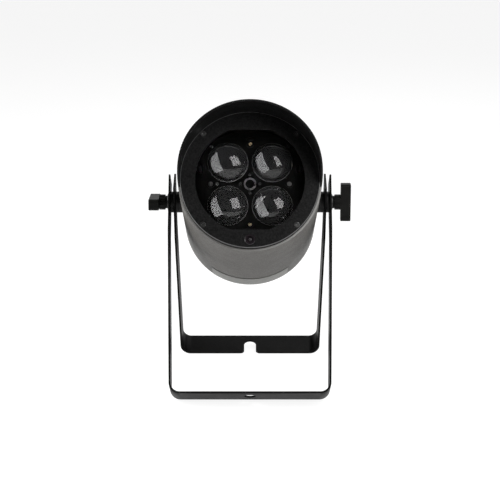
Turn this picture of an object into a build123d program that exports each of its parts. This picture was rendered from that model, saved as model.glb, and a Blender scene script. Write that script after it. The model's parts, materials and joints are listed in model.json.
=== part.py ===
from build123d import *

import os
from math import acos, atan2, cos, degrees, hypot, radians, sin

# LED par can with motorised zoom, standing on its two-piece floor yoke.
# Millimetres, +Z up; the light shines towards -Y and tilts up.  The origin is on the
# floor, under the middle of the whole part.  Along the head, z is measured forward
# from the pivot axis, x to the right seen from the front and y across the head.

# ---------------------------------------------------------------- driving dimensions
HEAD_TILT = 27.8          # the head looks up by this angle
FRONT_LEAN = 33.5         # the outer yoke leans forward by this angle

STRIP = 2.5               # thickness of the yoke strip
STRIP_WIDTH = 40.0
STRIP_BEND = 14.0         # outer radius of a yoke corner
ARM_TOP = 32.0            # arm above the pivot axis
ARM_STRAIGHT = 45.0       # parallel stretch of the arm below the pivot axis
FRONT_REACH = 262.4       # pivot axis to the middle of the outer yoke's plate
REAR_REACH = 233.3        # the same for the inner yoke
FRONT_ARM_X = 108.0       # outer face of the outer yoke at the pivot
FRONT_BASE_X = 103.3      # and at its plate
REAR_ARM_X = 101.0
REAR_BASE_X = 97.0
CLAMP_HOLE = 14.5         # coarse clearance hole for an M12 clamp bolt
CLAMP_SLOT = 16.4         # open slot of the inner yoke
SLOT_MOUTH = 5.5          # rounding of the slot's mouth

TUBE_R = 90.8
TUBE_WALL = 2.5
TUBE_END = 114.0          # half the length of the tube
VISOR_FRONT = 166.0
VISOR_R = 88.2            # inner radius of the visor
VISOR_FULL = 62.0         # the visor is full length above this height
VISOR_LOW = -8.0          # its lower corners
VISOR_SCREW_ANGLES = (-60, 0, 60)
SMALL_SCREW = 1.25        # radius of an M2.5 shank

BEZEL_R = 88.0
BEZEL_FRONT = 122.0
LIP = 3.0                 # thickness of the lip over the glass
OPENING_R = 69.0
OPENING_FLAT = 64.6       # half height of the opening between its flats
POCKET_R = 75.0
POCKET_FLAT = 69.0
SEAT_R = 71.5             # ledge that backs the glass
SEAT_FLAT = 66.5
FRAME_BACK = 104.0
GLASS_FRONT = 117.5
BEZEL_SCREW = 58.7        # the four screws stand at this x and y
BEZEL_SCREW_R = 1.6
COUNTERBORE_R = 3.9
COUNTERBORE = 3.2         # its depth
RECEIVER_Y = -77.5
RECEIVER_R = 4.2
RECEIVER_DISH = 0.4       # depth of the dish round the receiver

STUD_R = 4.0              # M8
STUD_FIT = 4.08
STUD_HOLE = 4.3
DISC_R = 14.0             # bosses, friction discs and spacers on the pivot
BUSH_R = 9.0              # spigot of a boss through the tube wall
BUSH_END = 78.0           # inner end of the spigot
BOSS_X = 95.0
WASHER_R = 11.0
WASHER_X = 109.6          # outer face of the washer
COLLAR_X = 112.6
COLLAR_R = 8.5
HUB_X = 120.7
HUB_R = 10.2
FLUTES = 12               # grooves round the hub
FLUTE_R = 0.9
HANDLE_X = 134.0
HANDLE_WIDTH = 15.0
HANDLE_LENGTH = 50.8
HANDLE_CORNER = 4.0
LEFT_KNOB_TURN = 86.0     # the left handle points to the front

PLATE_HALF = 59.0         # the lens carriage
PLATE_BACK = 90.0
PLATE_FRONT = 96.0
RETAINER_BACK = 88.0
LENS_AT = 28.2            # the lenses stand at this x and y
LENS_R = 26.0
LENS_RISE = 14.0
NUT_Y = 52.5              # lead screws, above and below the middle
ROD_X = 50.0              # guide rods, left and right of it
ROD_R = 3.0
SCREW_R = 2.5
NUT_BACK = 80.0
CARRIAGE_SCREW = 49.0
CARRIAGE_SCREW_R = 1.2
RETAINER_SCREW_X = -42.0
CENTRE_HUB_R = 7.9
CENTRE_HUB_HEIGHT = 2.4
HUB_SCREW = 12.3          # the four screws round the hub
HUB_SCREW_R = 1.0

CHASSIS_BACK = 30.0
CHASSIS_FRONT = 33.0
BOARD = 1.6               # thickness of a circuit board
LED_BOARD = 72.0
LED_SIZE = 9.0
GUIDE_BACK = 37.2
GUIDE_FRONT = 57.0
PILLAR_R = 3.5
PILLAR_AT = 84.0
PILLAR_ANGLE = 35.0
HOLDER_BACK = 44.0        # plate that holds the light guides
HOLDER_HALF = 40.0
HOLDER_POST = 36.5
SINK_WIDTH = 100.0
SINK_BACK = -4.0
SINK_BASE = 6.0
FINS = 13
FIN = 2.0                 # thickness of a fin
FIN_PITCH = 8.0
FAN = 80.0
FAN_FRONT = -5.0
FAN_BACK = -20.0
FAN_BLADES = 7
BLADE_PITCH = 35.0
FAN_HUB_R = 15.0
MOTOR = 28.0
SUPPLY_BACK = -96.0       # power supply and driver board
SUPPLY_LENGTH = 62.0
SUPPLY_Y = -49.0
DRIVER_Y = -20.0

RING_INNER = 80.0         # ring that the rear panel is screwed to
PANEL_BACK = -112.0
PANEL_FRONT = -109.0
RING_FRONT = -101.0
PANEL_SCREW_AT = 84.0
PANEL_SCREW_R = 1.5
DISPLAY_Y = 42.0
DISPLAY_WIDTH = 48.0
DISPLAY_HEIGHT = 20.0
DISPLAY_BOARD_BACK = -104.0
BUTTON_Y = 20.0
BUTTON_R = 4.0
BUTTON_PITCH = 14.0
CONNECTORS = {
    "power_inlet": (-38.0, -8.0),
    "power_outlet": (38.0, -8.0),
    "data_inlet": (-38.0, -42.0),
    "data_outlet": (38.0, -42.0),
}
CONNECTOR_R = 10.0        # hole in the panel
FLANGE = 26.0
VENT_Y = -64.0
FUSE_Y = -25.0
SMALL_HOLE_R = 6.0        # holes for the vent and the fuse
EYE_Y = 72.0              # centre of the safety eye
EYE_Z = -126.0
EYE_R = 6.5
EYE_RIM_R = 11.5
EYE_HALF = 2.5            # half its thickness

# The floor takes the rear edge of the outer plate and the front edge of the inner one.
lean = radians(FRONT_LEAN)
tilt = radians(HEAD_TILT)
PIVOT_Z = (FRONT_REACH + STRIP / 2) * cos(lean) + STRIP_WIDTH / 2 * sin(lean)
rear_corner = hypot(REAR_REACH + STRIP / 2, STRIP_WIDTH / 2)
REAR_LEAN = degrees(atan2(STRIP_WIDTH / 2, REAR_REACH + STRIP / 2) + acos(PIVOT_Z / rear_corner))

# The origin is half way between the outer plate's front edge and the back of the safety eye.
front_extent = (FRONT_REACH + STRIP / 2) * sin(lean) + STRIP_WIDTH / 2 * cos(lean)
back_extent = EYE_Y * sin(tilt) - EYE_Z * cos(tilt) + EYE_RIM_R
PIVOT_Y = (front_extent - back_extent) / 2


# ---------------------------------------------------------------- places
def corners(at):
    """The four corners of a square centred on the head's axis."""
    return [(-at, at), (at, at), (-at, -at), (at, -at)]


def around(radius, angles):
    """Points on a circle about the head's axis."""
    return [(radius * cos(radians(angle)), radius * sin(radians(angle))) for angle in angles]


LENS_SPOTS = corners(LENS_AT)
BEZEL_SPOTS = corners(BEZEL_SCREW)
CARRIAGE_SPOTS = [*corners(CARRIAGE_SCREW), (RETAINER_SCREW_X, 0)]
HUB_SPOTS = [(HUB_SCREW, 0), (-HUB_SCREW, 0), (0, HUB_SCREW), (0, -HUB_SCREW)]
HOLDER_POSTS = corners(HOLDER_POST)
PILLAR_SPOTS = around(PILLAR_AT, (PILLAR_ANGLE, 180 - PILLAR_ANGLE, 180 + PILLAR_ANGLE, -PILLAR_ANGLE))
PANEL_SCREW_SPOTS = around(PANEL_SCREW_AT, range(0, 360, 60))
MOTOR_SPOTS = [(0, NUT_Y), (0, -NUT_Y)]
ROD_SPOTS = [(ROD_X, 0), (-ROD_X, 0)]
BUTTON_SPOTS = [((place - 1.5) * BUTTON_PITCH, BUTTON_Y) for place in range(4)]

parts = {}


# ---------------------------------------------------------------- planes
def leaning(angle, x, y, z):
    """A plane that leans back by angle about the pivot axis; its normal points out of the front."""
    turn = radians(angle)
    across = Vector(0, sin(turn), cos(turn))
    forward = Vector(0, -cos(turn), sin(turn))
    origin = Vector(x, PIVOT_Y, PIVOT_Z) + across * y + forward * z
    return Plane(origin=origin, x_dir=(1, 0, 0), z_dir=forward)


def head(z=0.0, x=0.0, y=0.0):
    """A plane across the head, z in front of the pivot axis."""
    return leaning(HEAD_TILT, x, y, z)


def rear(z, x=0.0, y=0.0):
    """A plane across the head that faces backwards."""
    place = head(z, x, y)
    return Plane(origin=place.origin, x_dir=-place.x_dir, z_dir=-place.z_dir)


def head_side(x=0.0):
    """A plane along the head, facing +X: its x runs across the head and its y forward."""
    return Plane(origin=(x, PIVOT_Y, PIVOT_Z), x_dir=(0, sin(tilt), cos(tilt)), z_dir=(1, 0, 0))


def pivot(side, distance, turn=0.0):
    """A plane across the pivot axis, facing away from the head; its y leans forward by turn."""
    lean_forward = radians(turn)
    across = (0, side * cos(lean_forward), side * sin(lean_forward))
    return Plane(origin=(side * distance, PIVOT_Y, PIVOT_Z), x_dir=across, z_dir=(side, 0, 0))


def radial(angle, z, distance):
    """A plane that faces away from the head's axis, angle from its top."""
    base = head(z)
    outward = base.y_dir * cos(radians(angle)) + base.x_dir * sin(radians(angle))
    return Plane(origin=base.origin + outward * distance, x_dir=base.z_dir, z_dir=outward)


# ---------------------------------------------------------------- shared shapes
def window(radius, half_height):
    """Adds a disc with a flat at its top and bottom to the open sketch."""
    Circle(radius)
    Rectangle(2 * radius, 2 * half_height, mode=Mode.INTERSECT)


def hexagon_screws(plane, spots, head_r, head_length, shank_r, shank_length):
    """Cap screws with a hexagon recess; the plane is the seat of their heads."""
    with BuildPart() as screws:
        with BuildSketch(plane):
            with Locations(*spots):
                Circle(head_r)
        extrude(amount=head_length)
        with BuildSketch(plane):
            with Locations(*spots):
                Circle(shank_r)
        extrude(amount=-shank_length)
        with BuildSketch(plane.offset(head_length)):
            with Locations(*spots):
                RegularPolygon(head_r / 2, 6)
        extrude(amount=-head_length / 2, mode=Mode.SUBTRACT)
    return screws.part


def pivot_ring(side, start, end, radius, bore):
    """A disc on the pivot axis with a hole for the stud."""
    with BuildPart() as ring:
        with BuildSketch(pivot(side, start)):
            Circle(radius)
            Circle(bore, mode=Mode.SUBTRACT)
        extrude(amount=end - start)
        chamfer(ring.edges().filter_by(GeomType.CIRCLE).group_by(SortBy.RADIUS)[-1], 0.4)
    return ring.part


def u_outline(plane, arm_x, base_x, depth, corner, top):
    """The front view of a yoke, filled, with its lower corners rounded."""
    with BuildSketch(plane) as outline:
        with BuildLine():
            Polyline(
                (-arm_x, top),
                (-arm_x, -ARM_STRAIGHT),
                (-base_x, -depth),
                (base_x, -depth),
                (arm_x, -ARM_STRAIGHT),
                (arm_x, top),
                close=True,
            )
        make_face()
        fillet(outline.vertices().group_by(Axis.Y)[0], corner)
    return outline.sketch


def yoke(angle, arm_x, base_x, reach):
    """A strip bent to a U, with a stud hole through each arm."""
    plane = leaning(angle, 0, 0, 0)
    half = STRIP / 2
    outer = u_outline(plane, arm_x, base_x, reach + half, STRIP_BEND, ARM_TOP)
    corner = STRIP_BEND - STRIP
    inner = u_outline(plane, arm_x - STRIP, base_x - STRIP, reach - half, corner, 2 * ARM_TOP)
    with BuildPart() as strip:
        extrude(outer, amount=STRIP_WIDTH / 2, both=True)
        extrude(inner, amount=STRIP_WIDTH, both=True, mode=Mode.SUBTRACT)
        with BuildSketch(pivot(1, 0)):
            Circle(STUD_HOLE)
        extrude(amount=arm_x + STRIP, both=True, mode=Mode.SUBTRACT)
    return strip.part


def plate_plane(angle, reach):
    """The outer face of a yoke's plate, facing away from the head."""
    face = leaning(angle, 0, -reach - STRIP / 2, 0)
    return Plane(origin=face.origin, x_dir=(1, 0, 0), z_dir=-face.y_dir)


# ---------------------------------------------------------------- yokes
with BuildPart() as front_yoke:
    add(yoke(FRONT_LEAN, FRONT_ARM_X, FRONT_BASE_X, FRONT_REACH))
    with BuildSketch(plate_plane(FRONT_LEAN, FRONT_REACH)):
        Circle(CLAMP_HOLE / 2)
    extrude(amount=-2 * STRIP, mode=Mode.SUBTRACT)
parts["front_yoke"] = front_yoke.part

with BuildPart() as rear_yoke:
    add(yoke(-REAR_LEAN, REAR_ARM_X, REAR_BASE_X, REAR_REACH))
    front_edge = STRIP_WIDTH / 2
    slot_half = CLAMP_SLOT / 2
    lip_centre = slot_half + SLOT_MOUTH
    with BuildSketch(plate_plane(-REAR_LEAN, REAR_REACH)):
        Circle(slot_half)
        Rectangle(2 * slot_half, front_edge, align=(Align.CENTER, Align.MIN))
        with Locations((0, front_edge - SLOT_MOUTH)):
            Rectangle(2 * lip_centre, SLOT_MOUTH, align=(Align.CENTER, Align.MIN))
        with Locations((0, front_edge - SLOT_MOUTH)):
            with GridLocations(2 * lip_centre, 1, 2, 1):
                Circle(SLOT_MOUTH, mode=Mode.SUBTRACT)
    extrude(amount=-2 * STRIP, mode=Mode.SUBTRACT)
parts["rear_yoke"] = rear_yoke.part

# ---------------------------------------------------------------- pivot hardware
tube_solid = Solid.make_cylinder(TUBE_R, 4 * TUBE_R, head(-2 * TUBE_R))
with BuildPart() as pivot_bosses:
    for side in (1, -1):
        with BuildSketch(pivot(side, BUSH_END)):
            Circle(DISC_R)
        extrude(amount=BOSS_X - BUSH_END)
    add(tube_solid, mode=Mode.SUBTRACT)
    for side in (1, -1):
        with BuildSketch(pivot(side, BUSH_END)):
            Circle(BUSH_R)
        extrude(amount=BOSS_X - BUSH_END)
    for side in (1, -1):
        with BuildSketch(pivot(side, BUSH_END)):
            Circle(STUD_FIT)
        extrude(amount=BOSS_X - BUSH_END, mode=Mode.SUBTRACT)
parts["pivot_bosses"] = pivot_bosses.part

with BuildPart() as friction_discs:
    for side in (1, -1):
        add(pivot_ring(side, BOSS_X, REAR_ARM_X - STRIP, DISC_R, STUD_HOLE))
parts["friction_discs"] = friction_discs.part

with BuildPart() as yoke_spacers:
    for side in (1, -1):
        add(pivot_ring(side, REAR_ARM_X, FRONT_ARM_X - STRIP, DISC_R, STUD_HOLE))
parts["yoke_spacers"] = yoke_spacers.part

for side, name in ((1, "right"), (-1, "left")):
    parts[f"washer_{name}"] = pivot_ring(side, FRONT_ARM_X, WASHER_X, WASHER_R, STUD_HOLE)

    with BuildPart() as stud:
        with BuildSketch(pivot(side, BUSH_END + 2)):
            Circle(STUD_R)
        extrude(amount=HUB_X - BUSH_END - 4)
        chamfer(stud.edges().filter_by(GeomType.CIRCLE), 0.6)
    parts[f"knob_stud_{name}"] = stud.part

    # A moulded T handle: collar, fluted hub and a bar across it.
    handle_turn = LEFT_KNOB_TURN if side < 0 else 0.0
    with BuildPart() as knob:
        with BuildSketch(pivot(side, WASHER_X)):
            Circle(COLLAR_R)
        extrude(amount=COLLAR_X - WASHER_X)
        with BuildSketch(pivot(side, COLLAR_X)):
            Circle(HUB_R)
        extrude(amount=HUB_X - COLLAR_X)
        with BuildSketch(pivot(side, COLLAR_X)):
            with PolarLocations(HUB_R, FLUTES):
                Circle(FLUTE_R)
        extrude(amount=HUB_X - COLLAR_X - 1.0, mode=Mode.SUBTRACT)
        with BuildSketch(pivot(side, HUB_X, handle_turn)):
            RectangleRounded(HANDLE_WIDTH, HANDLE_LENGTH, HANDLE_CORNER)
        extrude(amount=HANDLE_X - HUB_X)
        fillet(knob.faces().sort_by(Axis.X)[-1 if side > 0 else 0].edges(), 1.2)
        add(parts[f"knob_stud_{name}"], mode=Mode.SUBTRACT)
    parts[f"knob_{name}"] = knob.part

# ---------------------------------------------------------------- housing
with BuildPart() as housing_tube:
    with BuildSketch(head(-TUBE_END)):
        Circle(TUBE_R)
        Circle(TUBE_R - TUBE_WALL, mode=Mode.SUBTRACT)
    extrude(amount=2 * TUBE_END)
    with BuildSketch(pivot(1, 0)):
        Circle(BUSH_R)
    extrude(amount=BOSS_X, both=True, mode=Mode.SUBTRACT)
parts["housing_tube"] = housing_tube.part

VISOR_SCREW_Z = (TUBE_END + BEZEL_FRONT) / 2 + 0.5
with BuildPart() as visor:
    with BuildSketch(head(TUBE_END)):
        Circle(TUBE_R)
        Circle(VISOR_R, mode=Mode.SUBTRACT)
    extrude(amount=VISOR_FRONT - TUBE_END)
    with BuildSketch(head_side()):
        with BuildLine():
            rim = Polyline(
                (VISOR_LOW, TUBE_END),
                (TUBE_R + 1, TUBE_END),
                (TUBE_R + 1, VISOR_FRONT),
                (VISOR_FULL, VISOR_FRONT),
            )
            Spline(rim @ 1, rim @ 0, tangents=((-1, 0), (-0.25, -1)))
        make_face()
    extrude(amount=TUBE_R + 1, both=True, mode=Mode.INTERSECT)
    for angle in VISOR_SCREW_ANGLES:
        with BuildSketch(radial(angle, VISOR_SCREW_Z, TUBE_R + 1)):
            Circle(SMALL_SCREW)
        extrude(amount=-6, mode=Mode.SUBTRACT)
parts["visor"] = visor.part

with BuildPart() as visor_screws:
    for angle in VISOR_SCREW_ANGLES:
        with BuildSketch(radial(angle, VISOR_SCREW_Z, 80)):
            Circle(SMALL_SCREW)
        extrude(amount=TUBE_R - 80)
        with BuildSketch(radial(angle, VISOR_SCREW_Z, TUBE_R + 0.05)):
            Circle(2.6)
        extrude(amount=1.4, taper=25)
        with BuildSketch(radial(angle, VISOR_SCREW_Z, TUBE_R - 0.5)):
            Circle(SMALL_SCREW)
        extrude(amount=0.6)
parts["visor_screws"] = visor_screws.part

with BuildPart() as front_bezel:
    with BuildSketch(head(TUBE_END)):
        Circle(BEZEL_R)
    extrude(amount=BEZEL_FRONT - TUBE_END)
    fillet(front_bezel.faces().sort_by(Axis(head().origin, head().z_dir))[-1].edges(), 0.8)
    with BuildSketch(head(TUBE_END)):
        window(OPENING_R, OPENING_FLAT)
    extrude(amount=BEZEL_FRONT - TUBE_END, mode=Mode.SUBTRACT)
    with BuildSketch(head(TUBE_END)):
        window(POCKET_R, POCKET_FLAT)
    extrude(amount=BEZEL_FRONT - TUBE_END - LIP, mode=Mode.SUBTRACT)
    with Locations(head(BEZEL_FRONT)):
        with Locations(*BEZEL_SPOTS):
            CounterBoreHole(BEZEL_SCREW_R, COUNTERBORE_R, COUNTERBORE)
    with BuildSketch(head(TUBE_END, y=RECEIVER_Y)):
        Circle(RECEIVER_R)
    extrude(amount=BEZEL_FRONT - TUBE_END, mode=Mode.SUBTRACT)
    with BuildSketch(head(BEZEL_FRONT, y=RECEIVER_Y)):
        Circle(11.0)
        with Locations((0, -RECEIVER_Y)):
            Circle(BEZEL_R - 2.0, mode=Mode.INTERSECT)
    extrude(amount=-RECEIVER_DISH, mode=Mode.SUBTRACT)
    for angle in VISOR_SCREW_ANGLES:
        with BuildSketch(radial(angle, VISOR_SCREW_Z, BEZEL_R + 1)):
            Circle(SMALL_SCREW)
        extrude(amount=-9, mode=Mode.SUBTRACT)
parts["front_bezel"] = front_bezel.part

parts["bezel_screws"] = hexagon_screws(
    head(BEZEL_FRONT - COUNTERBORE), BEZEL_SPOTS, 3.5, 2.8, BEZEL_SCREW_R, 12.0
)

with BuildPart() as glass_gasket:
    with BuildSketch(head(GLASS_FRONT)):
        window(POCKET_R - 0.2, POCKET_FLAT - 0.2)
    extrude(amount=BEZEL_FRONT - LIP - GLASS_FRONT)
    with BuildSketch(head(GLASS_FRONT)):
        window(OPENING_R + 1.0, OPENING_FLAT + 1.0)
    extrude(amount=BEZEL_FRONT - LIP - GLASS_FRONT, mode=Mode.SUBTRACT)
parts["glass_gasket"] = glass_gasket.part

with BuildPart() as front_glass:
    with BuildSketch(head(TUBE_END)):
        window(POCKET_R - 0.2, POCKET_FLAT - 0.2)
    extrude(amount=GLASS_FRONT - TUBE_END)
parts["front_glass"] = front_glass.part

with BuildPart() as front_frame:
    with BuildSketch(head(FRAME_BACK)):
        Circle(TUBE_R - TUBE_WALL)
        with Locations(*BEZEL_SPOTS):
            Circle(BEZEL_SCREW_R, mode=Mode.SUBTRACT)
        with Locations((0, RECEIVER_Y)):
            Circle(RECEIVER_R, mode=Mode.SUBTRACT)
    extrude(amount=TUBE_END - FRAME_BACK)
    with BuildSketch(head(FRAME_BACK)):
        window(SEAT_R, SEAT_FLAT)
    extrude(amount=TUBE_END - FRAME_BACK, mode=Mode.SUBTRACT)
parts["front_frame"] = front_frame.part

with BuildPart() as receiver_ring:
    with BuildSketch(head(BEZEL_FRONT - RECEIVER_DISH, y=RECEIVER_Y)):
        Circle(6.5)
        Circle(RECEIVER_R, mode=Mode.SUBTRACT)
    extrude(amount=1.2)
    chamfer(receiver_ring.edges().filter_by(GeomType.CIRCLE).group_by(SortBy.RADIUS)[-1], 0.3)
parts["receiver_ring"] = receiver_ring.part

with BuildPart() as receiver_window:
    with BuildSketch(head(FRAME_BACK + 2, y=RECEIVER_Y)):
        Circle(RECEIVER_R - 0.3)
    extrude(amount=BEZEL_FRONT - FRAME_BACK - 3.0)
    with BuildSketch(head(BEZEL_FRONT - 1.0, y=RECEIVER_Y)):
        Circle(2.2)
    extrude(amount=1.4)
    front_edges = receiver_window.edges().filter_by(GeomType.CIRCLE)
    fillet(front_edges.sort_by(Axis(head().origin, head().z_dir))[-1], 1.2)
parts["receiver_window"] = receiver_window.part

with BuildPart() as rating_plate:
    with BuildSketch(head(-TUBE_END + 3)):
        Circle(TUBE_R + 0.6)
        Circle(TUBE_R, mode=Mode.SUBTRACT)
    extrude(amount=40)
    with BuildSketch(head(-TUBE_END, y=-TUBE_R)):
        Rectangle(104, 60)
    extrude(amount=TUBE_R, mode=Mode.INTERSECT)
parts["rating_plate"] = rating_plate.part

# ---------------------------------------------------------------- light engine
with BuildPart() as chassis_plate:
    with BuildSketch(head(CHASSIS_BACK)):
        Circle(TUBE_R - TUBE_WALL)
        with Locations(*MOTOR_SPOTS):
            Circle(SCREW_R + 2.0, mode=Mode.SUBTRACT)
        with Locations(*ROD_SPOTS):
            Circle(ROD_R, mode=Mode.SUBTRACT)
        with PolarLocations(74.0, 6, start_angle=30):
            Circle(6.0, mode=Mode.SUBTRACT)
    extrude(amount=CHASSIS_FRONT - CHASSIS_BACK)
parts["chassis_plate"] = chassis_plate.part

with BuildPart() as chassis_pillars:
    with BuildSketch(head(RING_FRONT)):
        with Locations(*PILLAR_SPOTS):
            Circle(PILLAR_R)
    extrude(amount=CHASSIS_BACK - RING_FRONT)
parts["chassis_pillars"] = chassis_pillars.part

with BuildPart() as led_board:
    with BuildSketch(head(CHASSIS_FRONT)):
        RectangleRounded(LED_BOARD, LED_BOARD, 3.0)
    extrude(amount=BOARD)
parts["led_board"] = led_board.part

with BuildPart() as led_emitters:
    with BuildSketch(head(CHASSIS_FRONT + BOARD)):
        with Locations(*LENS_SPOTS):
            Rectangle(LED_SIZE, LED_SIZE)
    extrude(amount=1.0)
    with BuildSketch(head(CHASSIS_FRONT + BOARD + 1.0)):
        with Locations(*LENS_SPOTS):
            Circle(3.6)
    extrude(amount=1.2, taper=30)
parts["led_emitters"] = led_emitters.part

with BuildPart() as light_guides:
    for x, y in LENS_SPOTS:
        with BuildSketch(head(GUIDE_BACK, x, y)):
            Rectangle(LED_SIZE - 1, LED_SIZE - 1)
        with BuildSketch(head(GUIDE_FRONT, x, y)):
            Rectangle(LED_SIZE + 4, LED_SIZE + 4)
        loft()
parts["light_guides"] = light_guides.part

with BuildPart() as guide_holder:
    with BuildSketch(head(HOLDER_BACK)):
        RectangleRounded(2 * HOLDER_HALF, 2 * HOLDER_HALF, 4.0)
        with Locations(*LENS_SPOTS):
            Rectangle(LED_SIZE + 2, LED_SIZE + 2, mode=Mode.SUBTRACT)
    extrude(amount=2.0)
    with BuildSketch(head(CHASSIS_FRONT)):
        with Locations(*HOLDER_POSTS):
            Circle(2.4)
        Rectangle(LED_BOARD, LED_BOARD, mode=Mode.SUBTRACT)
    extrude(amount=HOLDER_BACK - CHASSIS_FRONT)
parts["guide_holder"] = guide_holder.part

with BuildPart() as heat_sink:
    with BuildSketch(head(CHASSIS_BACK - SINK_BASE)):
        Rectangle(SINK_WIDTH, LED_BOARD)
    extrude(amount=SINK_BASE)
    with BuildSketch(head(SINK_BACK)):
        with GridLocations(FIN_PITCH, 1, FINS, 1):
            Rectangle(FIN, LED_BOARD)
    extrude(amount=CHASSIS_BACK - SINK_BASE - SINK_BACK)
parts["heat_sink"] = heat_sink.part

with BuildPart() as fan_frame:
    with BuildSketch(head(FAN_BACK)):
        RectangleRounded(FAN, FAN, 5.0)
        Circle(FAN / 2 - 3.0, mode=Mode.SUBTRACT)
        with GridLocations(FAN - 9, FAN - 9, 2, 2):
            Circle(2.2, mode=Mode.SUBTRACT)
    extrude(amount=FAN_FRONT - FAN_BACK)
    with BuildSketch(head(FAN_BACK)):
        Circle(FAN_HUB_R)
        for turn in (0, 120, 240):
            with Locations(Rot(0, 0, turn + 30) * Pos(FAN / 4, 0)):
                Rectangle(FAN / 2 - 2, 4.0)
    extrude(amount=2.0)
parts["fan_frame"] = fan_frame.part

ROTOR_BACK = FAN_BACK + 3.0
with BuildPart() as fan_rotor:
    with BuildSketch(head(ROTOR_BACK)):
        Circle(FAN_HUB_R)
    extrude(amount=11.0)
    for blade in range(FAN_BLADES):
        turn = radians(blade * 360 / FAN_BLADES)
        middle = head(ROTOR_BACK + 5.5)
        outward = middle.x_dir * cos(turn) + middle.y_dir * sin(turn)
        sideways = middle.y_dir * cos(turn) - middle.x_dir * sin(turn)
        chord = sideways * cos(radians(BLADE_PITCH)) + middle.z_dir * sin(radians(BLADE_PITCH))
        with BuildSketch(Plane(origin=middle.origin + outward * 13, x_dir=chord, z_dir=outward)):
            Rectangle(14.0, 1.6)
        extrude(amount=22.0)
parts["fan_rotor"] = fan_rotor.part

with BuildPart() as zoom_motors:
    with BuildSketch(head(0)):
        with Locations(*MOTOR_SPOTS):
            RectangleRounded(MOTOR, MOTOR, 3.0)
    extrude(amount=CHASSIS_BACK)
    with BuildSketch(head(CHASSIS_BACK)):
        with Locations(*MOTOR_SPOTS):
            Circle(SCREW_R + 0.3)
    extrude(amount=-12, mode=Mode.SUBTRACT)
parts["zoom_motors"] = zoom_motors.part

with BuildPart() as guide_rods:
    with BuildSketch(head(CHASSIS_BACK)):
        with Locations(*ROD_SPOTS):
            Circle(ROD_R)
    extrude(amount=PLATE_FRONT + 1 - CHASSIS_BACK)
    chamfer(guide_rods.edges().filter_by(GeomType.CIRCLE), 0.5)
parts["guide_rods"] = guide_rods.part

for (x, y), name in zip(MOTOR_SPOTS, ("upper", "lower")):
    with BuildPart() as lead_screw:
        with BuildSketch(head(CHASSIS_BACK - 11, x, y)):
            Circle(SCREW_R)
        extrude(amount=PLATE_FRONT + 1 - CHASSIS_BACK + 11)
        chamfer(lead_screw.edges().filter_by(GeomType.CIRCLE), 0.9)
    parts[f"lead_screw_{name}"] = lead_screw.part

# ---------------------------------------------------------------- lens carriage
with BuildPart() as lens_plate:
    with BuildSketch(head(PLATE_BACK)):
        Rectangle(2 * PLATE_HALF, 2 * PLATE_HALF)
        Circle(PLATE_HALF * 2**0.5 - 0.6, mode=Mode.INTERSECT)
        with Locations(*LENS_SPOTS):
            Circle(LENS_R, mode=Mode.SUBTRACT)
        with Locations(*MOTOR_SPOTS):
            Circle(4.5, mode=Mode.SUBTRACT)
        with Locations(*ROD_SPOTS):
            Circle(ROD_R + 2, mode=Mode.SUBTRACT)
        with Locations(*CARRIAGE_SPOTS):
            Circle(CARRIAGE_SCREW_R, mode=Mode.SUBTRACT)
        with Locations(*HUB_SPOTS):
            Circle(HUB_SCREW_R, mode=Mode.SUBTRACT)
    extrude(amount=PLATE_FRONT - PLATE_BACK)
parts["lens_plate"] = lens_plate.part

with BuildPart() as lens_retainer:
    with BuildSketch(head(RETAINER_BACK)):
        RectangleRounded(2 * PLATE_HALF - 4, 2 * PLATE_HALF - 4, 4.0)
        with Locations(*LENS_SPOTS):
            Circle(LENS_R - 3, mode=Mode.SUBTRACT)
        with Locations(*MOTOR_SPOTS, *ROD_SPOTS):
            Circle(ROD_R + 2, mode=Mode.SUBTRACT)
        with Locations(*CARRIAGE_SPOTS):
            Circle(CARRIAGE_SCREW_R, mode=Mode.SUBTRACT)
    extrude(amount=PLATE_BACK - RETAINER_BACK)
parts["lens_retainer"] = lens_retainer.part

dome_r = (LENS_R**2 + LENS_RISE**2) / (2 * LENS_RISE)
with BuildPart() as lenses:
    for x, y in LENS_SPOTS:
        with BuildSketch(head_side(x)):
            with BuildLine():
                back = Polyline(
                    (y, PLATE_FRONT + LENS_RISE),
                    (y, PLATE_BACK),
                    (y + LENS_R, PLATE_BACK),
                    (y + LENS_R, PLATE_FRONT),
                )
                RadiusArc(back @ 1, back @ 0, -dome_r)
            make_face()
        revolve(axis=Axis(head(0, x, y).origin, head().z_dir))
parts["lenses"] = lenses.part

with BuildPart() as lead_nuts:
    with BuildSketch(head(NUT_BACK)):
        with Locations(*MOTOR_SPOTS):
            Circle(4.5)
            Circle(SCREW_R + 0.06, mode=Mode.SUBTRACT)
    extrude(amount=PLATE_FRONT + 0.6 - NUT_BACK)
parts["lead_nuts"] = lead_nuts.part

with BuildPart() as guide_bushes:
    with BuildSketch(head(NUT_BACK)):
        with Locations(*ROD_SPOTS):
            Circle(ROD_R + 2)
            Circle(ROD_R + 0.06, mode=Mode.SUBTRACT)
    extrude(amount=PLATE_FRONT + 0.6 - NUT_BACK)
parts["guide_bushes"] = guide_bushes.part

with BuildPart() as centre_hub:
    with BuildSketch(head(PLATE_FRONT)):
        Circle(CENTRE_HUB_R)
    extrude(amount=CENTRE_HUB_HEIGHT)
    with BuildSketch(head(PLATE_FRONT + CENTRE_HUB_HEIGHT)):
        Circle(CENTRE_HUB_R - 1.6)
    extrude(amount=-1.6, mode=Mode.SUBTRACT)
    with BuildSketch(head(PLATE_FRONT + 0.8)):
        Circle(5.0)
    extrude(amount=0.6)
parts["centre_hub"] = centre_hub.part

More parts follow.
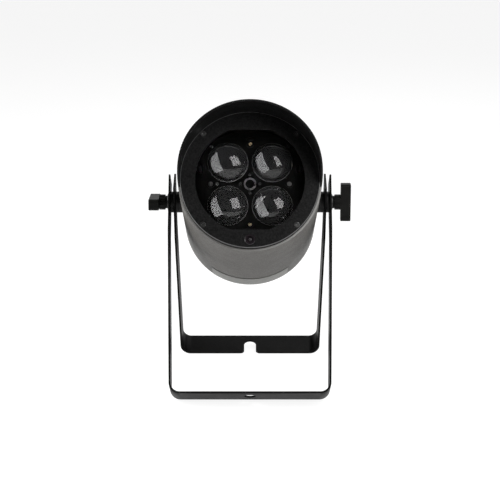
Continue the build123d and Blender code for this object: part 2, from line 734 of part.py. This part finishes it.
with BuildPart() as carriage_screws:
    add(hexagon_screws(head(PLATE_FRONT), CARRIAGE_SPOTS, 2.3, 1.5, CARRIAGE_SCREW_R, 7.5))
    add(hexagon_screws(head(PLATE_FRONT), HUB_SPOTS, 2.0, 1.3, HUB_SCREW_R, 5.5))
parts["carriage_screws"] = carriage_screws.part

# ---------------------------------------------------------------- electronics
with BuildPart() as power_supply:
    with BuildSketch(head(SUPPLY_BACK, y=SUPPLY_Y)):
        RectangleRounded(90.0, 34.0, 2.0)
    extrude(amount=SUPPLY_LENGTH)
parts["power_supply"] = power_supply.part

with BuildPart() as driver_board:
    with BuildSketch(head(SUPPLY_BACK, y=DRIVER_Y)):
        Rectangle(100.0, BOARD)
    extrude(amount=SUPPLY_LENGTH)
    with BuildSketch(head(SUPPLY_BACK + 6, y=DRIVER_Y + BOARD / 2)):
        with GridLocations(22.0, 1, 4, 1):
            Rectangle(12.0, 16.0, align=(Align.CENTER, Align.MIN))
    extrude(amount=18)
    with BuildSketch(head(SUPPLY_BACK + 32, y=DRIVER_Y + BOARD / 2)):
        with GridLocations(30.0, 1, 3, 1):
            Rectangle(20.0, 3.0, align=(Align.CENTER, Align.MIN))
    extrude(amount=22)
parts["driver_board"] = driver_board.part

# ---------------------------------------------------------------- rear end
with BuildPart() as rear_ring:
    with BuildSketch(head(PANEL_FRONT)):
        Circle(TUBE_R - TUBE_WALL)
        Circle(RING_INNER, mode=Mode.SUBTRACT)
        with Locations(*PANEL_SCREW_SPOTS):
            Circle(PANEL_SCREW_R, mode=Mode.SUBTRACT)
    extrude(amount=RING_FRONT - PANEL_FRONT)
parts["rear_ring"] = rear_ring.part

with BuildPart() as rear_panel:
    with BuildSketch(head(PANEL_BACK)):
        Circle(TUBE_R - TUBE_WALL - 0.3)
        with Locations(*PANEL_SCREW_SPOTS):
            Circle(PANEL_SCREW_R, mode=Mode.SUBTRACT)
        with Locations((0, DISPLAY_Y)):
            Rectangle(DISPLAY_WIDTH, DISPLAY_HEIGHT, mode=Mode.SUBTRACT)
        with Locations(*BUTTON_SPOTS):
            Circle(BUTTON_R + 0.3, mode=Mode.SUBTRACT)
        with Locations(*CONNECTORS.values()):
            Circle(CONNECTOR_R, mode=Mode.SUBTRACT)
        with Locations((0, VENT_Y), (0, FUSE_Y)):
            Circle(SMALL_HOLE_R, mode=Mode.SUBTRACT)
    extrude(amount=PANEL_FRONT - PANEL_BACK)
parts["rear_panel"] = rear_panel.part

parts["rear_panel_screws"] = hexagon_screws(
    rear(PANEL_BACK), PANEL_SCREW_SPOTS, 2.9, 1.8, PANEL_SCREW_R, 9.0
)

with BuildPart() as display_window:
    with BuildSketch(rear(PANEL_BACK, y=DISPLAY_Y)):
        RectangleRounded(DISPLAY_WIDTH + 6, DISPLAY_HEIGHT + 6, 3.0)
    extrude(amount=1.4)
    with BuildSketch(rear(PANEL_BACK, y=DISPLAY_Y)):
        Rectangle(DISPLAY_WIDTH, DISPLAY_HEIGHT)
    extrude(amount=PANEL_BACK - PANEL_FRONT)
parts["display_window"] = display_window.part

with BuildPart() as display_board:
    with BuildSketch(head(DISPLAY_BOARD_BACK, y=(DISPLAY_Y + BUTTON_Y) / 2)):
        Rectangle(66, 54)
    extrude(amount=BOARD)
    with BuildSketch(head(DISPLAY_BOARD_BACK, y=DISPLAY_Y)):
        Rectangle(DISPLAY_WIDTH - 2, DISPLAY_HEIGHT - 2)
    extrude(amount=PANEL_FRONT - DISPLAY_BOARD_BACK)
parts["display_board"] = display_board.part

for place, (x, y) in enumerate(BUTTON_SPOTS, start=1):
    with BuildPart() as button:
        with BuildSketch(rear(PANEL_FRONT + 0.2, x, y)):
            Circle(BUTTON_R)
        extrude(amount=PANEL_FRONT - PANEL_BACK + 2.0)
        fillet(button.faces().sort_by(Axis(head().origin, head().z_dir))[0].edges(), 0.8)
        with BuildSketch(rear(PANEL_FRONT + 2.0, x, y)):
            Circle(BUTTON_R + 1.0)
        extrude(amount=2.0 - 0.2)
    parts[f"menu_button_{place}"] = button.part

for name, (x, y) in CONNECTORS.items():
    with BuildPart() as connector:
        with BuildSketch(rear(PANEL_BACK, x, y)):
            RectangleRounded(FLANGE, FLANGE, 4.0)
        extrude(amount=2.0)
        with BuildSketch(rear(PANEL_FRONT + 9, x, y)):
            Circle(CONNECTOR_R - 0.2)
        extrude(amount=PANEL_FRONT + 9 - PANEL_BACK + 6.0)
        with BuildSketch(rear(PANEL_BACK - 6.0, x, y)):
            Circle(11.5)
            with PolarLocations(11.5, 10):
                Circle(1.2, mode=Mode.SUBTRACT)
        extrude(amount=8.0)
        back_face = connector.faces().sort_by(Axis(head().origin, head().z_dir))[0]
        fillet(back_face.outer_wire().edges(), 0.4)
        with BuildSketch(rear(PANEL_BACK - 2.0, x, y)):
            with GridLocations(FLANGE - 6, FLANGE - 6, 2, 2):
                Circle(1.6)
        extrude(amount=1.0)
    parts[name] = connector.part

with BuildPart() as vent_valve:
    with BuildSketch(rear(PANEL_BACK, 0, VENT_Y)):
        RegularPolygon(8.5, 6)
    extrude(amount=4.0)
    with BuildSketch(rear(PANEL_FRONT + 4, 0, VENT_Y)):
        Circle(SMALL_HOLE_R - 0.2)
    extrude(amount=PANEL_FRONT + 4 - PANEL_BACK)
    with BuildSketch(rear(PANEL_BACK - 4.0, 0, VENT_Y)):
        Circle(6.5)
    extrude(amount=2.5)
parts["vent_valve"] = vent_valve.part

with BuildPart() as fuse_holder:
    with BuildSketch(rear(PANEL_FRONT + 6, 0, FUSE_Y)):
        Circle(SMALL_HOLE_R - 0.2)
    extrude(amount=PANEL_FRONT + 6 - PANEL_BACK)
    with BuildSketch(rear(PANEL_BACK, 0, FUSE_Y)):
        Circle(8.0)
    extrude(amount=5.0)
    with BuildSketch(rear(PANEL_BACK - 5.0, 0, FUSE_Y)):
        Rectangle(11.0, 1.8)
    extrude(amount=-1.4, mode=Mode.SUBTRACT)
parts["fuse_holder"] = fuse_holder.part

with BuildPart() as safety_eye:
    with BuildSketch(rear(PANEL_BACK, 0, EYE_Y - 4)):
        RectangleRounded(26, 18, 3.0)
    extrude(amount=3.0)
    with BuildSketch(head_side()):
        with Locations((EYE_Y, EYE_Z)):
            Circle(EYE_RIM_R)
        with Locations((EYE_Y, (EYE_Z + PANEL_BACK) / 2)):
            Rectangle(2 * EYE_R + 6, PANEL_BACK - EYE_Z)
        Rectangle(2 * TUBE_END, -2 * PANEL_BACK, mode=Mode.SUBTRACT)
    extrude(amount=EYE_HALF, both=True)
    with BuildSketch(head_side()):
        with Locations((EYE_Y, EYE_Z)):
            Circle(EYE_R)
    extrude(amount=EYE_HALF, both=True, mode=Mode.SUBTRACT)
parts["safety_eye"] = safety_eye.part

# ---------------------------------------------------------------- files
os.makedirs("parts", exist_ok=True)
for name, part in parts.items():
    part.label = name
    export_step(part, f"parts/{name}.step")
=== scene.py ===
import json
import math

import bmesh
import bpy
from mathutils import Matrix, Vector


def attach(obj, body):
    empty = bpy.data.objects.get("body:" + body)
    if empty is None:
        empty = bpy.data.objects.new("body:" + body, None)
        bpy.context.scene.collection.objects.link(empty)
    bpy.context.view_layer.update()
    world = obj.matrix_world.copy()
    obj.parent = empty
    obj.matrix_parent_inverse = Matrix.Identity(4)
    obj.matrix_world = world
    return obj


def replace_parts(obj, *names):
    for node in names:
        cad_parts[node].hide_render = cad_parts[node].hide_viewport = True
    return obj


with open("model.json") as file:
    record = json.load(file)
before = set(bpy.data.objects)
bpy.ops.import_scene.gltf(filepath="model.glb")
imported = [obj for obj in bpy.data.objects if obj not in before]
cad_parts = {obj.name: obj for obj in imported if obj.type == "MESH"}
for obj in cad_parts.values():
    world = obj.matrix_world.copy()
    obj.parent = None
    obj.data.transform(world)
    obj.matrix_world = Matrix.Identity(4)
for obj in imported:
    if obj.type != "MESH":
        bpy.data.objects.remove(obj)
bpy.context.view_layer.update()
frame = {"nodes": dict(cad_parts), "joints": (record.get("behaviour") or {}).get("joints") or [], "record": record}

scene = bpy.context.scene
nodes = frame["nodes"]
record = frame["record"]
joints = {joint["name"]: joint for joint in frame["joints"]}
MM = 0.001

# The head's own frame: x to the right, y across the head, z the way the light shines.
pivot = Vector(joints["head_tilt"]["pos_m"])
forward = Vector(joints["zoom_slide"]["axis"]).normalized()
right = Vector((1, 0, 0))
across = forward.cross(right).normalized()
HEAD = Matrix.Translation(pivot) @ Matrix((right, across, forward)).transposed().to_4x4()


# ------------------------------------------------------------------ materials
def link(tree, source, target):
    tree.links.new(source, target)


def noise_texture(tree, scale, **settings):
    """Noise on the object's own coordinates; settings name its sockets with _ for spaces."""
    place = tree.nodes.get("Texture Coordinate") or tree.nodes.new("ShaderNodeTexCoord")
    node = tree.nodes.new("ShaderNodeTexNoise")
    node.inputs["Scale"].default_value = scale
    for name, value in settings.items():
        node.inputs[name.replace("_", " ")].default_value = value
    link(tree, place.outputs["Object"], node.inputs["Vector"])
    return node


def spread(tree, value, from_range=(0, 1), to_range=(0, 1)):
    """The value carried from one range over to another."""
    node = tree.nodes.new("ShaderNodeMapRange")
    node.inputs["From Min"].default_value = from_range[0]
    node.inputs["From Max"].default_value = from_range[1]
    node.inputs["To Min"].default_value = to_range[0]
    node.inputs["To Max"].default_value = to_range[1]
    link(tree, value, node.inputs["Value"])
    return node.outputs["Result"]


def finish(name, colour, roughness, **settings):
    """A principled material; settings name its sockets with _ for spaces."""
    material = bpy.data.materials.new(name)
    material.use_nodes = True
    shader = material.node_tree.nodes["Principled BSDF"]
    shader.inputs["Base Color"].default_value = (*colour, 1)
    shader.inputs["Roughness"].default_value = roughness
    for socket, value in settings.items():
        shader.inputs[socket.replace("_", " ")].default_value = value
    return material


def vary_colour(material, other, scale, low=0.35, high=0.65):
    """Clouds of a second colour over the base colour."""
    tree = material.node_tree
    shader = tree.nodes["Principled BSDF"]
    base = tuple(shader.inputs["Base Color"].default_value)
    noise = noise_texture(tree, scale, Detail=5.0, Roughness=0.6)
    ramp = tree.nodes.new("ShaderNodeValToRGB")
    ramp.color_ramp.elements[0].position = low
    ramp.color_ramp.elements[0].color = base
    ramp.color_ramp.elements[1].position = high
    ramp.color_ramp.elements[1].color = (*other, 1)
    link(tree, noise.outputs["Fac"], ramp.inputs["Fac"])
    link(tree, ramp.outputs["Color"], shader.inputs["Base Color"])


def vary_roughness(material, low, high, scale):
    """Clouds of roughness between two values."""
    tree = material.node_tree
    noise = noise_texture(tree, scale, Detail=4.0)
    roughness = spread(tree, noise.outputs["Fac"], to_range=(low, high))
    link(tree, roughness, tree.nodes["Principled BSDF"].inputs["Roughness"])


def bump(material, scale, depth, strength=1.0, stretch=None, **settings):
    """Relief of the given depth in metres; later calls add to earlier ones."""
    tree = material.node_tree
    shader = tree.nodes["Principled BSDF"]
    source = noise_texture(tree, scale, **settings)
    if stretch:
        place = tree.nodes["Texture Coordinate"].outputs["Object"]
        mapping = tree.nodes.new("ShaderNodeMapping")
        mapping.inputs["Scale"].default_value = stretch
        link(tree, place, mapping.inputs["Vector"])
        link(tree, mapping.outputs["Vector"], source.inputs["Vector"])
    relief = tree.nodes.new("ShaderNodeBump")
    relief.inputs["Strength"].default_value = strength
    relief.inputs["Distance"].default_value = depth
    earlier = shader.inputs["Normal"].links
    if earlier:
        link(tree, earlier[0].from_socket, relief.inputs["Normal"])
    link(tree, source.outputs["Fac"], relief.inputs["Height"])
    link(tree, relief.outputs["Normal"], shader.inputs["Normal"])


def blend(material, factor, colour):
    """Mixes a second colour over the base colour where the factor is 1."""
    tree = material.node_tree
    socket = tree.nodes["Principled BSDF"].inputs["Base Color"]
    mix = tree.nodes.new("ShaderNodeMix")
    mix.data_type = "RGBA"
    factor_in, first, second = mix.inputs[0], mix.inputs[6], mix.inputs[7]
    link(tree, socket.links[0].from_socket, first)
    link(tree, factor, factor_in)
    second.default_value = (*colour, 1)
    link(tree, mix.outputs[2], socket)


def head_measure(tree, *steps):
    """Runs (operation, operand) steps on the place from the pivot; the last one gives a number."""
    place = tree.nodes["Texture Coordinate"].outputs["Object"]
    for operation, operand in (("SUBTRACT", pivot), *steps):
        step = tree.nodes.new("ShaderNodeVectorMath")
        step.operation = operation
        if operand:
            step.inputs[1].default_value = operand
        link(tree, place, step.inputs[0])
        place = step.outputs[0]
    return step.outputs[1]


def within(tree, value, middle, half):
    """1 where the value is no further than half from the middle."""
    test = tree.nodes.new("ShaderNodeMath")
    test.operation = "COMPARE"
    test.inputs[1].default_value = middle
    test.inputs[2].default_value = half
    link(tree, value, test.inputs[0])
    return test.outputs[0]


def repaint(material, colour, radius=None, depth=None):
    """Paints a band, and gives its mask.

    radius is a distance from the head's axis and depth a place along it, each as a middle
    and a half width in metres. With both, the band is where they meet.
    """
    tree = material.node_tree
    masks = []
    if radius:
        distance = head_measure(tree, ("CROSS_PRODUCT", forward), ("LENGTH", None))
        masks.append(within(tree, distance, *radius))
    if depth:
        masks.append(within(tree, head_measure(tree, ("DOT_PRODUCT", forward)), *depth))
    both = tree.nodes.new("ShaderNodeMath")
    both.operation = "MULTIPLY"
    link(tree, masks[0], both.inputs[0])
    link(tree, masks[-1], both.inputs[1])
    blend(material, both.outputs[0], colour)
    return both.outputs[0]


def dull(material, mask):
    """Fully rough where the mask is 1."""
    tree = material.node_tree
    socket = tree.nodes["Principled BSDF"].inputs["Roughness"]
    rougher = tree.nodes.new("ShaderNodeMath")
    rougher.operation = "MAXIMUM"
    link(tree, socket.links[0].from_socket, rougher.inputs[0])
    link(tree, mask, rougher.inputs[1])
    link(tree, rougher.outputs[0], socket)


def frost_rim(material, rim, clear, frosted):
    """See-through, but less so in the rim, a band of distance from the piece's own z axis."""
    tree = material.node_tree
    flat = tree.nodes.new("ShaderNodeVectorMath")
    flat.operation = "MULTIPLY"
    flat.inputs[1].default_value = (1, 1, 0)
    link(tree, tree.nodes["Texture Coordinate"].outputs["Object"], flat.inputs[0])
    from_axis = tree.nodes.new("ShaderNodeVectorMath")
    from_axis.operation = "LENGTH"
    link(tree, flat.outputs[0], from_axis.inputs[0])
    in_rim = within(tree, from_axis.outputs[1], *rim)
    weight = spread(tree, in_rim, to_range=(clear, frosted))
    link(tree, weight, tree.nodes["Principled BSDF"].inputs["Transmission Weight"])


def soften_edges(material, radius):
    """Catches light on edges as a small rounding would."""
    tree = material.node_tree
    rounding = tree.nodes.new("ShaderNodeBevel")
    rounding.samples = 4
    rounding.inputs["Radius"].default_value = radius
    link(tree, rounding.outputs["Normal"], tree.nodes["Principled BSDF"].inputs["Normal"])


def powder_coat(name, colour, other, roughness, grain, depth, gloss=0.3):
    """Sprayed powder: a pebbled skin with soft gloss changes."""
    material = finish(name, colour, roughness, Specular_IOR_Level=gloss)
    vary_colour(material, other, 460, 0.40, 0.62)
    vary_roughness(material, roughness - 0.06, roughness + 0.08, 60)
    soften_edges(material, 0.0006)
    bump(material, grain, depth, Detail=2.0, Roughness=0.55)
    bump(material, grain * 0.22, depth * 1.6, strength=0.5, Detail=1.0)
    return material


def moulded(name, colour, other, roughness, grain=2600, gloss=0.3):
    """Moulded plastic with fine spark-eroded grain."""
    material = finish(name, colour, roughness, Specular_IOR_Level=gloss)
    vary_colour(material, other, 90)
    vary_roughness(material, roughness - 0.05, roughness + 0.06, 240)
    bump(material, grain, 0.00006, Detail=2.0)
    return material


def machined(name, colour, other, roughness, lines=900, stretch=(1, 1, 0.05)):
    """Bare metal with fine drawn or turned lines."""
    material = finish(name, colour, roughness, Metallic=1.0)
    vary_colour(material, other, 120)
    vary_roughness(material, roughness - 0.05, roughness + 0.1, 300)
    bump(material, lines, 0.00002, stretch=stretch, Detail=3.0)
    return material


slots = {
    "yoke_black": powder_coat(
        "yoke_black", (0.0026, 0.0026, 0.0027), (0.0054, 0.0053, 0.0052), 0.42, 1500, 0.00010, gloss=0.04
    ),
    "tube_paint": powder_coat(
        "tube_paint", (0.044, 0.041, 0.036), (0.088, 0.083, 0.074), 0.50, 700, 0.00030, gloss=0.32
    ),
    "front_black": powder_coat(
        "front_black", (0.0018, 0.0018, 0.0019), (0.0090, 0.0090, 0.0090), 0.44, 620, 0.00030, gloss=0.10
    ),
    "chassis_black": powder_coat(
        "chassis_black", (0.0025, 0.0025, 0.0025), (0.0045, 0.0045, 0.0045), 0.60, 1800, 0.00005, gloss=0.1
    ),
    "motor_case": powder_coat(
        "motor_case", (0.035, 0.035, 0.037), (0.047, 0.047, 0.049), 0.40, 2000, 0.00005
    ),
    "pivot_black": moulded("pivot_black", (0.0045, 0.0045, 0.0045), (0.007, 0.007, 0.0068), 0.50),
    "knob_plastic": moulded(
        "knob_plastic", (0.0040, 0.0040, 0.0037), (0.0075, 0.0075, 0.0068), 0.42, 1800, gloss=0.10
    ),
    "carriage_black": moulded(
        "carriage_black", (0.0012, 0.0012, 0.0013), (0.0026, 0.0026, 0.0026), 0.40, 1500, gloss=0.08
    ),
    "rubber": moulded("rubber", (0.016, 0.016, 0.016), (0.022, 0.022, 0.022), 0.62),
    "fan_plastic": moulded("fan_plastic", (0.014, 0.014, 0.014), (0.020, 0.020, 0.020), 0.40),
    "button_rubber": moulded("button_rubber", (0.055, 0.055, 0.058), (0.070, 0.070, 0.072), 0.55),
    "connector_plastic": moulded(
        "connector_plastic", (0.018, 0.018, 0.019), (0.026, 0.026, 0.027), 0.36
    ),
    "black_screws": machined("black_screws", (0.17, 0.17, 0.17), (0.26, 0.26, 0.255), 0.20),
    "steel": machined("steel", (0.50, 0.50, 0.49), (0.60, 0.59, 0.575), 0.28),
    "label": machined("label", (0.18, 0.18, 0.170), (0.225, 0.225, 0.21), 0.46, 700, (0.05, 1, 1)),
    "dark_metal": machined("dark_metal", (0.22, 0.22, 0.22), (0.30, 0.30, 0.295), 0.26),
    "brass": machined("brass", (0.80, 0.62, 0.36), (0.88, 0.74, 0.50), 0.24),
    "aluminium": machined("aluminium", (0.62, 0.62, 0.63), (0.70, 0.70, 0.70), 0.34),
    "receiver": finish("receiver", (0.010, 0.007, 0.009), 0.14, Coat_Weight=0.5, Coat_Roughness=0.05),
    "board": finish("board", (0.006, 0.045, 0.020), 0.32, Coat_Weight=0.3),
    "led": finish("led", (0.78, 0.66, 0.20), 0.30),
    "display": finish("display", (0.006, 0.010, 0.013), 0.10, Coat_Weight=1.0, Coat_Roughness=0.03),
    "glass": finish("glass", (1.0, 1.0, 1.0), 0.0, Transmission_Weight=1.0, IOR=1.18),
    "lens_clear": finish("lens_clear", (0.93, 0.94, 0.95), 0.0, IOR=1.49),
}

# The can's inner wall is painted near black. A light band on its front rim and a light ring on the bezel's outer
# edge are painted highlights, for light caught on those edges.
# Each band is a middle and a half width in metres, out from the head's axis or along it.
CAN_INSIDE = (0, 0.0897)
CAN_RIM_HIGHLIGHT = (0.1141, 0.0004)
BEZEL_HIGHLIGHT_RADIUS = (0.08765, 0.00045)
BEZEL_HIGHLIGHT_DEPTH = (0.1216, 0.0008)
# The can's inner wall is painted near black and made fully rough.
inside = repaint(slots["tube_paint"], (0.002, 0.002, 0.002), radius=CAN_INSIDE)
dull(slots["tube_paint"], inside)
# Painted highlight: a light band on the can's front rim stands in for light caught on its edge.
repaint(slots["tube_paint"], (0.26, 0.255, 0.245), depth=CAN_RIM_HIGHLIGHT)
# Painted highlight: a light ring on the bezel's outer edge stands in for light caught there.
repaint(slots["front_black"], (0.12, 0.12, 0.12), radius=BEZEL_HIGHLIGHT_RADIUS, depth=BEZEL_HIGHLIGHT_DEPTH)

for name in ("receiver", "board", "led", "display"):
    vary_roughness(slots[name], 0.10, 0.24, 200)
    bump(slots[name], 700, 0.00001, Detail=2.0)
for name in ("glass", "lens_clear"):
    bump(slots[name], 30, 0.000004, Detail=1.0)

# The lenses are faintly hazy, and frosted round their rims, a band of radius in metres.
LENS_FROST = (0.0258, 0.0007)
frost_rim(slots["lens_clear"], LENS_FROST, clear=0.986, frosted=0.80)

# The washers and the guide rods take a darker steel than other pieces in their slots.
darker_steel = machined("darker_steel", (0.07, 0.07, 0.069), (0.11, 0.11, 0.108), 0.32)
darker_steel_nodes = ("washer_left", "washer_right", "guide_rods")
for part in record["subparts"]:
    mesh = nodes[part["node"]].data
    mesh.materials.clear()
    gets_darker_steel = part["node"] in darker_steel_nodes
    mesh.materials.append(darker_steel if gets_darker_steel else slots[part["material_slot"]])


# ------------------------------------------------------------------ rounded edges
WELD_GAP = 0.000002  # metres; the CAD mesh has split vertices along its edges


def round_edges(name, width, segments=3, angle=35):
    """Breaks the sharp edges of a CAD node; width in millimetres, angle in degrees."""
    weld = nodes[name].modifiers.new("weld", "WELD")
    weld.merge_threshold = WELD_GAP
    bevel = nodes[name].modifiers.new("bevel", "BEVEL")
    bevel.width = width * MM
    bevel.segments = segments
    bevel.limit_method = "ANGLE"
    bevel.angle_limit = math.radians(angle)
    bevel.harden_normals = True


# Millimetres.
edge_widths = {
    "front_yoke": 0.5,
    "rear_yoke": 0.5,
    "bezel_screws": 0.5,
    "carriage_screws": 0.3,
    "rear_panel_screws": 0.4,
    "washer_left": 0.3,
    "washer_right": 0.3,
}
for name, width in edge_widths.items():
    round_edges(name, width)


# ------------------------------------------------------------------ lenses
def turned(name, profile, slot, body, place, steps=96):
    """A round piece turned about the head's z from (radius, z) points in millimetres."""
    shape = bmesh.new()
    rings = []
    for radius, z in profile:
        if radius == 0:
            rings.append([shape.verts.new((0, 0, z * MM))])
            continue
        ring = []
        for step in range(steps):
            turn = 2 * math.pi * step / steps
            point = Vector((radius * math.cos(turn), radius * math.sin(turn), z)) * MM
            ring.append(shape.verts.new(point))
        rings.append(ring)
    for low, high in zip(rings, rings[1:]):
        for step in range(steps):
            after = (step + 1) % steps
            if len(low) == 1:
                shape.faces.new((low[0], high[after], high[step]))
            elif len(high) == 1:
                shape.faces.new((low[step], low[after], high[0]))
            else:
                shape.faces.new((low[step], low[after], high[after], high[step]))
    bmesh.ops.recalc_face_normals(shape, faces=shape.faces)
    mesh = bpy.data.meshes.new(name)
    shape.to_mesh(mesh)
    shape.free()
    mesh.shade_smooth()
    mesh.set_sharp_from_angle(angle=math.radians(32))
    mesh.materials.append(slots[slot])
    piece = bpy.data.objects.new(name, mesh)
    scene.collection.objects.link(piece)
    piece.matrix_world = HEAD @ Matrix.Translation(Vector(place) * MM)
    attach(piece, body)
    return piece


# A lens is a flat-backed disc with a dome; depths run along the head's z, in millimetres.
LENS_AT = 28.2          # its axis is this far from the head's, both ways
LENS_R = 26.0
LENS_BACK = 90.0
LENS_RIM = 96.0
LENS_TOP = 110.0
LENS_BEVEL = 0.4        # at the back
LENS_GAP = 0.05         # clearance in its seat
DOME_INSET = 0.5        # the dome starts this far in
DOME_STEPS = 28
rise = LENS_TOP - LENS_RIM
dome = (LENS_R**2 + rise**2) / (2 * rise)
profile = [
    (0, LENS_BACK),
    (12, LENS_BACK),
    (LENS_R - LENS_BEVEL, LENS_BACK),
    (LENS_R - LENS_GAP, LENS_BACK + LENS_BEVEL),
    (LENS_R - LENS_GAP, LENS_RIM - 0.2),
]
widest = math.asin((LENS_R - DOME_INSET) / dome)
for step in range(DOME_STEPS):
    turn = widest * (1 - step / DOME_STEPS)
    profile.append((dome * math.sin(turn), LENS_TOP - dome + dome * math.cos(turn)))
profile.append((0, LENS_TOP))
lens_names = {
    (-1, 1): "upper_left",
    (1, 1): "upper_right",
    (-1, -1): "lower_left",
    (1, -1): "lower_right",
}
for (x, y), name in lens_names.items():
    lens = turned(f"lens_{name}", profile, "lens_clear", "zoom_carriage", (x * LENS_AT, y * LENS_AT, 0))
    if name == "upper_left":
        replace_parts(lens, "lenses")

# The hub is a turned ring with a dark cap sunk in it.
HUB_R = 7.9
HUB_BORE = 6.2
HUB_BEVEL = 0.4
HUB_BACK = 96.0
HUB_FLOOR = 96.8
HUB_TOP = 98.4
CAP_R = 5.6
CAP_SHOULDER = 97.3
CAP_TOP = 97.6
DIMPLE = 97.4
ring = [
    (0, HUB_BACK),
    (HUB_R, HUB_BACK),
    (HUB_R, HUB_TOP - HUB_BEVEL),
    (HUB_R - HUB_BEVEL, HUB_TOP),
    (HUB_BORE + HUB_BEVEL, HUB_TOP),
    (HUB_BORE, HUB_TOP - HUB_BEVEL),
    (HUB_BORE, HUB_FLOOR),
    (0, HUB_FLOOR),
]
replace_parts(turned("hub_ring", ring, "dark_metal", "zoom_carriage", (0, 0, 0)), "centre_hub")
cap = [
    (0, HUB_FLOOR),
    (CAP_R, HUB_FLOOR),
    (CAP_R, CAP_SHOULDER),
    (CAP_R - 0.4, CAP_TOP),
    (3.4, CAP_TOP),
    (3.0, DIMPLE),
    (0, DIMPLE),
]
turned("hub_cap", cap, "carriage_black", "zoom_carriage", (0, 0, 0))


# ------------------------------------------------------------------ studio
LOOK_DOWN = math.radians(16)
EYE_DISTANCE = 2.0
EYE_DROP = 0.064        # the eye is this far below the line to the pivot
look = Vector((0, math.cos(LOOK_DOWN), -math.sin(LOOK_DOWN)))
view_up = Vector((0, math.sin(LOOK_DOWN), math.cos(LOOK_DOWN)))
camera = bpy.data.objects.new("camera", bpy.data.cameras.new("camera"))
scene.collection.objects.link(camera)
scene.camera = camera
camera.data.lens = 108
camera.data.clip_end = 50
camera.data.dof.use_dof = False
eye = pivot - EYE_DROP * view_up - EYE_DISTANCE * look
camera.matrix_world = Matrix.Translation(eye) @ Matrix((right, view_up, -look)).transposed().to_4x4()

FLOOR_HALF = 6.0
FLOOR_GAP = 0.0002      # below the object's feet
floor_mesh = bpy.data.meshes.new("floor")
corners = [(x * FLOOR_HALF, y * FLOOR_HALF, 0) for x, y in ((-1, -1), (1, -1), (1, 1), (-1, 1))]
floor_mesh.from_pydata(corners, [], [(0, 1, 2, 3)])
floor = bpy.data.objects.new("floor", floor_mesh)
floor.location.z = -FLOOR_GAP
scene.collection.objects.link(floor)
pale = finish(
    "floor_pale",
    (0.25, 0.25, 0.25),
    0.85,
    Emission_Color=(1, 1, 1, 1),
    Emission_Strength=0.88,
    Specular_IOR_Level=0.1,
)
floor_mesh.materials.append(pale)


def softbox(name, azimuth, elevation, distance, width, height, power):
    """An area light aimed at the pivot: degrees, metres and watts.

    azimuth runs from the camera's side towards +X.
    """
    turn, lift = math.radians(azimuth), math.radians(elevation)
    level = math.cos(lift)
    direction = Vector((math.sin(turn) * level, -math.cos(turn) * level, math.sin(lift)))
    lamp = bpy.data.lights.new(name, "AREA")
    lamp.shape = "RECTANGLE"
    lamp.size, lamp.size_y = width, height
    lamp.energy = power
    box = bpy.data.objects.new(name, lamp)
    aim = direction.to_track_quat("Z", "Y").to_matrix().to_4x4()
    box.matrix_world = Matrix.Translation(pivot + direction * distance) @ aim
    scene.collection.objects.link(box)


softbox("left_tall", -88, 28, 1.5, 0.8, 2.2, 38)
softbox("right_window", 42, 36, 1.7, 1.15, 1.4, 28)
softbox("rim", 165, 40, 2.2, 1.2, 1.2, 10)


def studio_sky():
    """White to the eye; as light it is bright only behind the object, near the horizon."""
    world = bpy.data.worlds.new("studio")
    scene.world = world
    world.use_nodes = True
    sky = world.node_tree
    place = sky.nodes.new("ShaderNodeTexCoord")
    split = sky.nodes.new("ShaderNodeSeparateXYZ")
    link(sky, place.outputs["Generated"], split.inputs["Vector"])
    behind = spread(sky, split.outputs["Y"], from_range=(-0.35, 0.35))
    low_down = spread(sky, split.outputs["Z"], from_range=(0.45, 0.10))
    both = sky.nodes.new("ShaderNodeMath")
    both.operation = "MULTIPLY"
    link(sky, behind, both.inputs[0])
    link(sky, low_down, both.inputs[1])
    glow = spread(sky, both.outputs["Value"], to_range=(0.04, 0.95))
    pick = sky.nodes.new("ShaderNodeMix")
    pick.inputs["B"].default_value = 1.0
    ray = sky.nodes.new("ShaderNodeLightPath")
    link(sky, ray.outputs["Is Camera Ray"], pick.inputs["Factor"])
    link(sky, glow, pick.inputs["A"])
    background = sky.nodes["Background"]
    background.inputs["Color"].default_value = (1, 1, 1, 1)
    link(sky, pick.outputs["Result"], background.inputs["Strength"])


studio_sky()
scene.view_settings.view_transform = "Standard"
